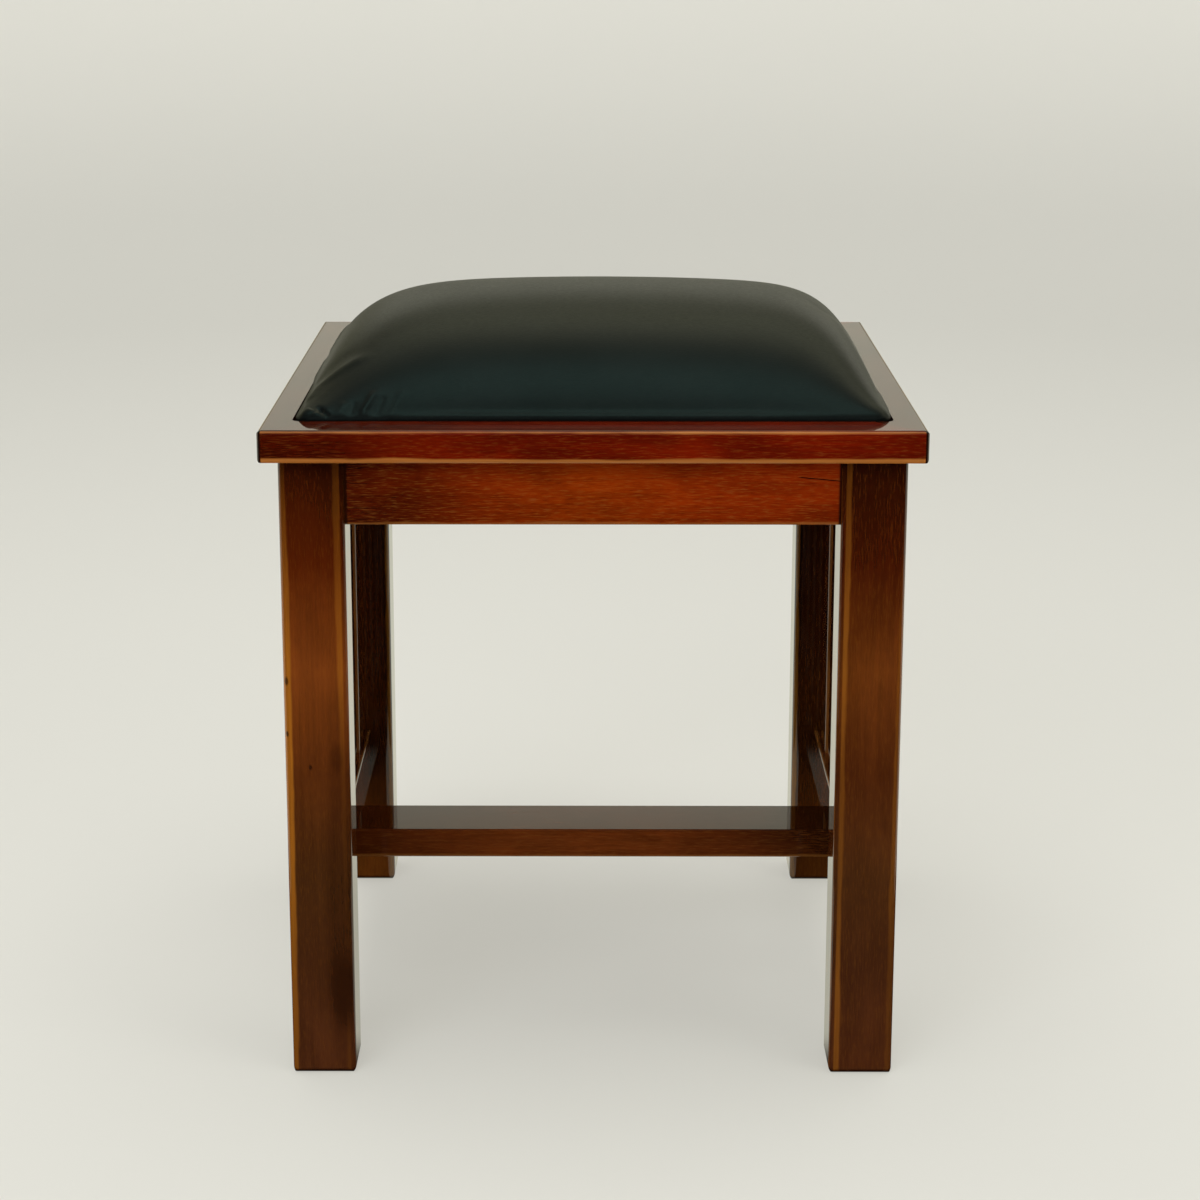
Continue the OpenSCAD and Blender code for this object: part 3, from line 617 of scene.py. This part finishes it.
# Folds of the cover: the line that each follows, in millimetres, its height and half width, and
# whether it fades at its start as it does at its end. A point without a height lies on the crown.
FOLDS = [
    # Tuck at the front left corner, its ear, and the puckers beside it
    ([(-161, -169, 424.5), (-163.5, -166.5, 426), (-166, -162), (-167, -159)], -1.8, 1.8, False),
    ([(-165, -170.5, 421), (-169, -167, 425)], 0.6, 2.6, False),
    ([(-175, -165, 422), (-171, -163, 427)], 0.6, 4.0, False),
    ([(-154, -169, 424), (-152.6, -165), (-150, -158)], 0.4, 2.6, False),
    ([(-146.5, -168, 425), (-146, -164), (-144, -158)], -0.5, 2.4, False),
    ([(-138.6, -169, 424), (-138.4, -165), (-135.6, -160), (-132, -152)], 0.9, 2.2, False),
    ([(-131, -168, 425), (-129, -161), (-127, -156)], -0.5, 2.4, False),
    ([(-122, -169, 424), (-118, -162), (-114, -153)], 0.5, 3.0, False),
    # Ridge that rises from the left edge towards the crown
    ([(-174, -138), (-169.3, -128), (-155.3, -121), (-136, -114)], 0.9, 6.0, False),
    ([(-173, -110), (-160, -104), (-146, -100)], -0.5, 9.0, False),
    # Drawn in at the front left, where the gap beside the pad shows
    ([(-180.5, -172, 425), (-180, -120, 426), (-179, -58, 428)], -1.9, 3.6, False),
    # Where the cover bulges over the seat frame, left and right
    ([(-181, -60, 423), (-181, -20, 423), (-181, 30, 423)], 1.5, 4.0, True),
    ([(-181, 30, 423), (-181, 90, 423), (-181, 160, 423)], 1.3, 4.0, True),
    ([(181, -160, 423), (181, -120, 423), (181, -86, 423)], 1.2, 3.6, True),
    ([(181, -28, 423), (181, 20, 423), (181, 68, 423)], 1.3, 4.0, True),
    ([(181, 102, 423), (181, 162, 423)], 1.3, 4.0, True),
    # Where it leans out over the front rail
    ([(-158, -170, 422.5), (0, -170, 422.5), (172, -170, 422.5)], 1.5, 3.5, True),
    # Notch at the front right corner
    ([(179, -166, 424.5), (176, -163.5, 430)], -1.8, 1.5, False),
    # Soft ridge down the right side
    ([(176, -128), (166, -60), (160, 10)], 0.9, 6.0, True),
]


def nearest_on(line, point):
    """Distance from a point to a broken line, and how far along it lies, 0 to 1."""
    best, along, done, total = 1e9, 0.0, 0.0, sum((b - a).length for a, b in zip(line, line[1:]))
    for a, b in zip(line, line[1:]):
        step = b - a
        t = max(0.0, min(1.0, (point - a).dot(step) / step.length_squared))
        distance = (a + step * t - point).length
        if distance < best:
            best, along = distance, (done + step.length * t) / total
        done += step.length
    return best, along


def on_pad(x, y, z=None):
    """A point of a fold in metres, on the crown if it has no height."""
    height = CROWN_Z + crown(x * MM, y * MM, CROWN_H) if z is None else z * MM
    return Vector((x * MM, y * MM, height))


def fold(obj):
    """Pushes the cover in and out along its folds."""
    lines = [([on_pad(*point) for point in line], height * MM, width * MM, both)
             for line, height, width, both in FOLDS]
    normals = [vert.normal.copy() for vert in obj.data.vertices]
    for vert, normal in zip(obj.data.vertices, normals):
        if vert.co.z < pad_low.z + EDGE_ROUND:
            continue
        move = 0.0
        for line, height, width, both in lines:
            distance, along = nearest_on(line, vert.co)
            if distance < 3 * width:
                fade = min(1.0, 4 * (1.02 - along), 4 * (along + 0.02) if both else 1.0)
                move += height * fade * math.exp(-(distance / width) ** 2)
        vert.co += normal * move
    obj.data.update()


fold(cover)
thick = cover.modifiers.new("thickness", "SOLIDIFY")
thick.thickness = COVER_T
thick.offset = -1
applied(cover)


def leathercloth():
    """Black PVC leathercloth, embossed with a grain of 1 mm pebbles: satin, green-black."""
    material, tree, shader, place = new_material("embossed_leathercloth")
    shader.inputs["Specular IOR Level"].default_value = 0.3
    pebbles = add(tree, "TexVoronoi", {"Vector": place, "Scale": 770.0}, feature="F1")
    creases = pattern(tree, place, X, 0.9, 3.0, 7.0, 3.0, 0.6)
    cloud = pattern(tree, place, X, 40, 40, 8.0)
    height = add(tree, "Math", [pebbles, 0.5, creases], operation="MULTIPLY_ADD")
    colour = add(tree, "ValToRGB", [cloud], stops=[(0.3, "#0b0e0c"), (0.7, "#0f1210")])
    # Painted shade darkens the grain's hollows
    hollow_shade = add(tree, "MapRange", [height, 0.5, 1.0, 0.0, 0.35], **SMOOTH)
    colour = add(tree, "Mix", {0: hollow_shade, 6: colour, 7: linear("#070908")}, 2, data_type="RGBA")
    tree.links.new(colour, shader.inputs["Base Color"])
    roughness = add(tree, "MapRange", [creases, 0.3, 0.7, 0.32, 0.4], **SMOOTH)
    tree.links.new(roughness, shader.inputs["Roughness"])
    bump = add(tree, "Bump", {"Strength": 0.35, "Distance": 0.12 * MM, "Height": height})
    tree.links.new(bump, shader.inputs["Normal"])
    return material


dressed(cover, leathercloth(), "seat_pad", "pad_cover")

# Foam under the cover, glued to the board and clear of the cover's folds
FOAM_GAP = 0.3 * MM
FOAM_UNDER = 4 * MM
FOAM_STEPS = 60
bm = bmesh.new()
crown_grid(bm, FOAM_STEPS, CROWN_H)
loop_down(bm, COVER_T, CROWN_Z)
bmesh.ops.edgeloop_fill(bm, edges=[edge for edge in bm.edges if edge.is_boundary])
bmesh.ops.translate(bm, vec=(0, 0, -CROWN_Z), verts=bm.verts)
shrink = 1 - FOAM_UNDER / PAD_X
bmesh.ops.scale(bm, vec=(shrink, shrink, 1 - FOAM_UNDER / CROWN_H), verts=bm.verts)
bmesh.ops.translate(bm, vec=(0, 0, CROWN_Z + FOAM_GAP), verts=bm.verts)
bmesh.ops.recalc_face_normals(bm, faces=bm.faces)
foam = new_object("pad_foam_block", bm)


def open_foam():
    """Cut polyurethane foam: open cells of a millimetre."""
    material, tree, shader, place = new_material("cut_foam")
    shader.inputs["Roughness"].default_value = 0.95
    cells = add(tree, "TexVoronoi", {"Vector": place, "Scale": 830.0})
    # The cells' pits are painted darker as shade
    colour = add(tree, "ValToRGB", [cells], stops=[(0.1, "#5d5d58"), (0.7, "#96968f")])
    tree.links.new(colour, shader.inputs["Base Color"])
    bump = add(tree, "Bump", {"Strength": 0.6, "Distance": 0.4 * MM, "Height": cells})
    tree.links.new(bump, shader.inputs["Normal"])
    return material


dressed(foam, open_foam(), "seat_pad", "pad_foam")

# Dust cloth stretched under the board over the staples, with a little sag
cloth_low, cloth_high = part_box("pad_dust_cloth")
CLOTH_X = cloth_high.x
CLOTH_Y = cloth_high.y
CLOTH_T = cloth_high.z - cloth_low.z
CLOTH_SAG = 1.4 * MM
STAPLE_PITCH = 34 * MM
PUCKER = 0.1 * MM
bm = bmesh.new()
for vert in bmesh.ops.create_grid(bm, x_segments=90, y_segments=84, size=1.0)["verts"]:
    u, v = vert.co.x, vert.co.y
    x, y = rounded_place(u, v, CLOTH_X, CLOTH_Y, PAD_CORNER)
    sag = CLOTH_SAG * (1 - abs(u) ** 4) * (1 - abs(v) ** 4)
    waves = (math.cos(math.tau * x / STAPLE_PITCH) * abs(v) ** 6
             + math.cos(math.tau * y / STAPLE_PITCH) * abs(u) ** 6)
    vert.co =(x, y, (cloth_low.z + cloth_high.z) / 2 - sag + PUCKER * waves / 2)
bmesh.ops.recalc_face_normals(bm, faces=bm.faces)
dust_cloth = new_object("pad_bottom_cloth", bm)
thick = dust_cloth.modifiers.new("thickness", "SOLIDIFY")
thick.thickness = CLOTH_T / 2
thick.offset = 0
applied(dust_cloth)


def spunbonded():
    """Black spunbonded cloth: fibres pressed together at points 2 mm apart, dull."""
    material, tree, shader, place = new_material("spunbonded_cloth")
    shader.inputs["Roughness"].default_value = 0.85
    shader.inputs["Specular IOR Level"].default_value = 0.25
    points = add(tree, "TexVoronoi", {"Vector": place, "Scale": 500.0, "Randomness": 0.2})
    fibres = pattern(tree, place, X, 0.6, 5.0, 9.0, 3.0, 0.6)
    pressed = add(tree, "MapRange", [points, 0.35, 0.2], **SMOOTH)
    colour = add(tree, "ValToRGB", [fibres], stops=[(0.35, "#1b1c1e"), (0.7, "#34363a")])
    colour = add(tree, "Mix", {0: pressed, 6: colour, 7: linear("#141517")}, 2, data_type="RGBA")
    tree.links.new(colour, shader.inputs["Base Color"])
    height = add(tree, "Math", [fibres, pressed], operation="SUBTRACT")
    bump = add(tree, "Bump", {"Strength": 0.5, "Distance": 0.15 * MM, "Height": height})
    tree.links.new(bump, shader.inputs["Normal"])
    return material


dressed(dust_cloth, spunbonded(), "seat_pad", "pad_dust_cloth")

STAGE_R = 4.2
STAGE_H = 3.2
SWEEP_R = 1.4


def backdrop():
    """A round sheet of floor that sweeps up into a wall on all sides."""
    bm = bmesh.new()
    points = [(0.0, 0.0), (STAGE_R - SWEEP_R, 0.0)]
    points += [(STAGE_R - SWEEP_R + SWEEP_R * math.sin(math.radians(a)),
                SWEEP_R - SWEEP_R * math.cos(math.radians(a))) for a in range(10, 91, 10)]
    points.append((STAGE_R, STAGE_H))
    verts = [bm.verts.new((r, 0, z)) for r, z in points]
    edges = [bm.edges.new(pair) for pair in zip(verts, verts[1:])]
    bmesh.ops.spin(bm, geom=verts + edges, cent=(0, 0, 0), axis=(0, 0, 1), angle=math.tau, steps=72,
                   use_merge=True)
    bmesh.ops.remove_doubles(bm, verts=bm.verts, dist=0.01 * MM)
    bmesh.ops.recalc_face_normals(bm, faces=bm.faces)
    bmesh.ops.reverse_faces(bm, faces=bm.faces)
    return new_object("backdrop", bm)


BACKDROP = "#dad8ce"
# The gloss shows the room warmer than the backdrop is, and the wall dimmer under and over the
# height that the seat frame mirrors and towards the left. The floor is as bright as the wall.
MIRRORED = "#e6e4d0"
MIRRORED_DIM = "#848268"
WALL_LOW = (0.55, 1.05)
WALL_HIGH = (2.0, 1.5)
WALL_LEFT = (-1.7, -0.8)
FLOOR_EDGE = (0.55, 0.04)
ROOM_DARK = "#0c1013"
SELF_LIT_SHARE = 0.6
# The sheet glows a little more under the stool than farther out, and most high on the wall, though
# not as the gloss shows it
FLOOR_GLOW = 1.05
WALL_GLOW = 1.04
GLOW_FROM = 0.2
GLOW_TO = 0.5
HIGH_GLOW = 1.35
HIGH_FROM = 3.3
HIGH_TO = 4.2
# In front of the stool the room is dark, and the floor under its sides carries a painted shadow, as its
# gloss shows in the photograph
BRIGHT_TO_Y = -0.12
DARK_FROM_Y = -0.178
SHADED_TO_Y = 0.145
SHADED_FROM_X = 0.15
stage = backdrop()
material, tree, shader, place = new_material("painted_backdrop")
seen, gloss, through = [add(tree, "LightPath", out=name)
                        for name in ("Is Camera Ray", "Is Glossy Ray", "Is Transmission Ray")]
gloss = add(tree, "Math", [gloss, through], operation="MAXIMUM")
seen = add(tree, "Math", [seen, gloss], operation="MAXIMUM")
reach = add(tree, "VectorMath", [place], "Value", operation="LENGTH")
high_level = add(tree, "MapRange", [reach, HIGH_FROM, HIGH_TO, 1.0, HIGH_GLOW], **SMOOTH)
high_level = add(tree, "Mix", {0: gloss, 2: high_level, 3: 1.0})
glow_level = add(tree, "MapRange", [reach, GLOW_FROM, GLOW_TO, FLOOR_GLOW, WALL_GLOW], **SMOOTH)
glow_level = add(tree, "Math", [glow_level, high_level], operation="MULTIPLY")
parts = add(tree, "SeparateXYZ", [place]).node.outputs
low_wall, high_wall, floor = [add(tree, "MapRange", [parts[Z], *ends], **SMOOTH)
                              for ends in (WALL_LOW, WALL_HIGH, FLOOR_EDGE)]
left_wall = add(tree, "MapRange", [parts[X], *WALL_LEFT], **SMOOTH)
bright = add(tree, "Math", [low_wall, left_wall], operation="MULTIPLY")
bright = add(tree, "Math", [floor, bright], operation="MAXIMUM")
bright = add(tree, "Math", [bright, high_wall], operation="MULTIPLY")
mirrored = add(tree, "Mix", {0: bright, 6: linear(MIRRORED_DIM), 7: linear(MIRRORED)}, 2,
               data_type="RGBA")
paint = add(tree, "Mix", {0: gloss, 6: linear(BACKDROP), 7: mirrored}, 2, data_type="RGBA")
diffuse = add(tree, "BsdfDiffuse", {"Color": paint})
glow = add(tree, "Emission", {"Color": paint, "Strength": glow_level})
dark = add(tree, "Emission", {"Color": linear(ROOM_DARK), "Strength": 1.0})
share = add(tree, "Math", [seen, SELF_LIT_SHARE], operation="MULTIPLY")
lit = add(tree, "MixShader", [share, diffuse, glow])
ahead = add(tree, "MapRange", [parts[Y], BRIGHT_TO_Y, DARK_FROM_Y], **SMOOTH)
# A painted shadow, seen only in the gloss, on the floor under each side of the stool
aside = add(tree, "Math", [parts[X]], operation="ABSOLUTE")
aside = add(tree, "Math", [aside, SHADED_FROM_X], operation="GREATER_THAN")
before = add(tree, "Math", [parts[Y], SHADED_TO_Y], operation="LESS_THAN")
near = add(tree, "Math", [reach, GLOW_TO], operation="LESS_THAN")
shaded = add(tree, "Math", [aside, before], operation="MULTIPLY")
shaded = add(tree, "Math", [shaded, near], operation="MULTIPLY")
dim = add(tree, "Math", [ahead, shaded], operation="MAXIMUM")
dim = add(tree, "Math", [gloss, dim], operation="MULTIPLY")
lit = add(tree, "MixShader", [dim, lit, dark])
# From beneath and from outside the sheet is clear, so the underside of the stool can be looked at
outside = add(tree, "NewGeometry", out="Backfacing")
lit = add(tree, "MixShader", [outside, lit, add(tree, "BsdfTransparent")])
tree.links.new(lit, tree.nodes["Material Output"].inputs["Surface"])
tree.nodes.remove(shader)
stage.data.materials.append(material)

# Over the backdrop the room that the gloss mirrors is dark. It has a pale high wall behind, which is
# dim at the left, a blue-white window high in front and a skylight straight overhead.
WINDOW = "#90a8a8"
SKYLIGHT = "#b2f6e8"
HIGH_WALL = "#dcdcba"
SOFT_LIGHT = "#a0a4a8"
world = bpy.data.worlds.new("studio")
world.use_nodes = True
tree = world.node_tree
seen, gloss, through = [add(tree, "LightPath", out=name)
                        for name in ("Is Camera Ray", "Is Glossy Ray", "Is Transmission Ray")]
gloss = add(tree, "Math", [gloss, through], operation="MAXIMUM")
# The direction in which a ray leaves, as parts of its length
across, away, up = add(tree, "SeparateXYZ", [add(tree, "TexCoord", out="Generated")]).node.outputs
high_wall = add(tree, "Math", [add(tree, "MapRange", [away, -0.1, 0.3], **SMOOTH),
                               add(tree, "MapRange", [up, 0.88, 0.68], **SMOOTH)], operation="MULTIPLY")
left_wall = add(tree, "MapRange", [across, -0.4, -0.15, 0.15, 1.0], **SMOOTH)
high_wall = add(tree, "Math", [high_wall, left_wall], operation="MULTIPLY")
# The window stands 34 to 44 degrees up and some 45 degrees to either side
sill, head = add(tree, "MapRange", [up, 0.56, 0.6]), add(tree, "MapRange", [up, 0.72, 0.66])
slant = add(tree, "Math", [across], operation="ABSOLUTE")
slant = add(tree, "Math", [slant, away], operation="ADD")
window = add(tree, "Math", [sill, head], operation="MULTIPLY")
for edge in ([away, -0.2, -0.3], [slant, 0.1, 0.0]):
    window = add(tree, "Math", [window, add(tree, "MapRange", edge, **SMOOTH)], operation="MULTIPLY")
overhead = add(tree, "Math", [add(tree, "MapRange", [up, 0.93, 0.98], **SMOOTH),
                              add(tree, "MapRange", [away, -0.2, -0.06], **SMOOTH)], operation="MULTIPLY")
room = linear(ROOM_DARK)
for share, shade in ((high_wall, HIGH_WALL), (window, WINDOW), (overhead, SKYLIGHT)):
    room = add(tree, "Mix", {0: share, 6: room, 7: linear(shade)}, 2, data_type="RGBA")
soft = add(tree, "Mix", {0: seen, 6: linear(SOFT_LIGHT), 7: linear(BACKDROP)}, 2, data_type="RGBA")
room = add(tree, "Mix", {0: gloss, 6: soft, 7: room}, 2, data_type="RGBA")
tree.links.new(room, tree.nodes["Background"].inputs["Color"])
scene.world = world


def softbox(name, place, aim, width, height, power, colour="#ffffff"):
    """A soft lamp that doesn't show in the gloss."""
    light = bpy.data.lights.new(name, "AREA")
    light.shape = "RECTANGLE"
    light.size, light.size_y = width, height
    light.energy = power
    light.color = linear(colour)[:3]
    obj = bpy.data.objects.new(name, light)
    obj.location = place
    obj.rotation_euler = (Vector(aim) - Vector(place)).to_track_quat("-Z", "Y").to_euler()
    obj.visible_camera = False
    obj.visible_glossy = False
    scene.collection.objects.link(obj)


softbox("overhead", (0.0, 0.15, 2.8), (0, 0, 0.2), 2.4, 2.0, 60)
softbox("front", (-1.2, -2.6, 1.9), (0, 0, 0.25), 2.0, 1.4, 45, "#eef3ff")
softbox("right", (2.2, -1.6, 1.3), (0, 0, 0.25), 1.4, 1.4, 14)

# The camera that was fitted to the photograph's straight edges
camera = bpy.data.cameras.new("camera")
camera.lens = 77.15
camera.sensor_width = 36
camera.shift_x = 0.0151
camera.shift_y = -0.0935
view = bpy.data.objects.new("camera", camera)
view.location = (-0.0012, -1.691, 0.732)
view.rotation_euler = (math.radians(76.925), 0, math.radians(0.205))
scene.collection.objects.link(view)
scene.camera = view
scene.view_settings.view_transform = "Standard"
